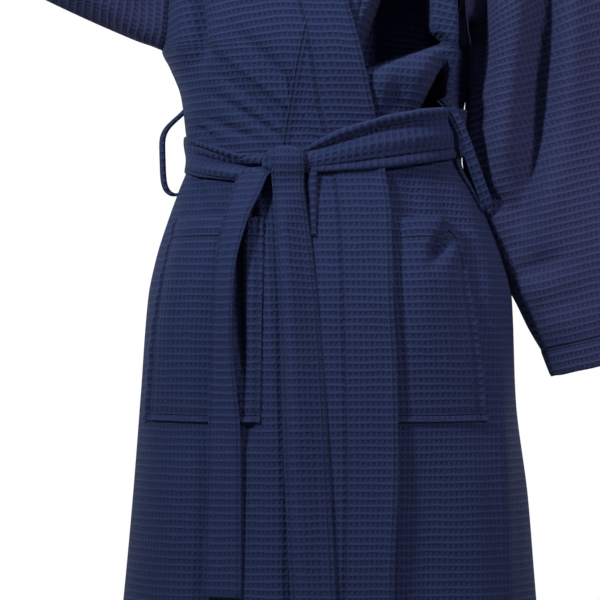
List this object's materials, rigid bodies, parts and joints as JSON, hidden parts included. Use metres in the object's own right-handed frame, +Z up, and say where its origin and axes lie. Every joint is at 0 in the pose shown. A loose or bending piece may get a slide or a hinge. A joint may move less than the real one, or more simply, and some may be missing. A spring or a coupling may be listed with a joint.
{
  "type": "bathrobe",
  "caption": "Waffle-weave kimono bathrobe, tied at the waist, with patch pockets, doubled front bands, belt loops and two sleeves that raise and lower.",
  "frame": {"origin": "middle of the hang loop's lower edge, inside the back of the neck", "axes": "+X towards the wearer's left, -Y towards the front, +Z up"},
  "size_m": [1.2881, 0.3723, 1.337],
  "materials": {
    "waffle_cloth": "woven waffle cotton, matt",
    "waffle_band": "doubled waffle cotton, topstitched, matt",
    "waffle_belt": "doubled waffle cotton, matt",
    "thread": "sewing thread",
    "tape": "flat woven tape",
    "label": "blank satin label"
  },
  "bodies": {
    "robe": {"back_panel": "waffle_cloth", "right_front": "waffle_cloth", "left_front": "waffle_cloth", "right_front_band": "waffle_band", "left_front_band": "waffle_band", "back_neck_band": "waffle_band", "right_pocket": "waffle_cloth", "left_pocket": "waffle_cloth", "right_pocket_tacks": "thread", "left_pocket_tacks": "thread", "right_belt_loop": "waffle_band", "left_belt_loop": "waffle_band", "belt_waist": "waffle_belt", "belt_knot": "waffle_belt", "hang_loop": "tape", "neck_label": "label", "care_label": "label", "right_sleeve_head": "waffle_cloth", "left_sleeve_head": "waffle_cloth"},
    "right_sleeve": {"right_sleeve": "waffle_cloth", "right_cuff": "waffle_band"},
    "left_sleeve": {"left_sleeve": "waffle_cloth", "left_cuff": "waffle_band"},
    "right_tail": {"belt_right_tail": "waffle_belt"},
    "centre_tail": {"belt_centre_tail": "waffle_belt"}
  },
  "joints": [
    {"name": "right_shoulder", "type": "hinge", "parent": "robe", "child": "right_sleeve", "pos_m": [-0.2, -0.07, -0.105], "axis": [0, 1, 0], "range_deg": [-55, 25], "deforming": ["right_sleeve_head"]},
    {"name": "left_shoulder", "type": "hinge", "parent": "robe", "child": "left_sleeve", "pos_m": [0.2, -0.07, -0.105], "axis": [0, -1, 0], "range_deg": [0, 75], "deforming": ["left_sleeve_head"]},
    {"name": "right_tail_swing", "type": "hinge", "parent": "robe", "child": "right_tail", "pos_m": [-0.097, -0.199, -0.461], "axis": [-1, 0, 0], "range_deg": [0, 60]},
    {"name": "centre_tail_swing", "type": "hinge", "parent": "robe", "child": "centre_tail", "pos_m": [-0.052, -0.2059, -0.461], "axis": [-1, 0, 0], "range_deg": [0, 60]}
  ]
}
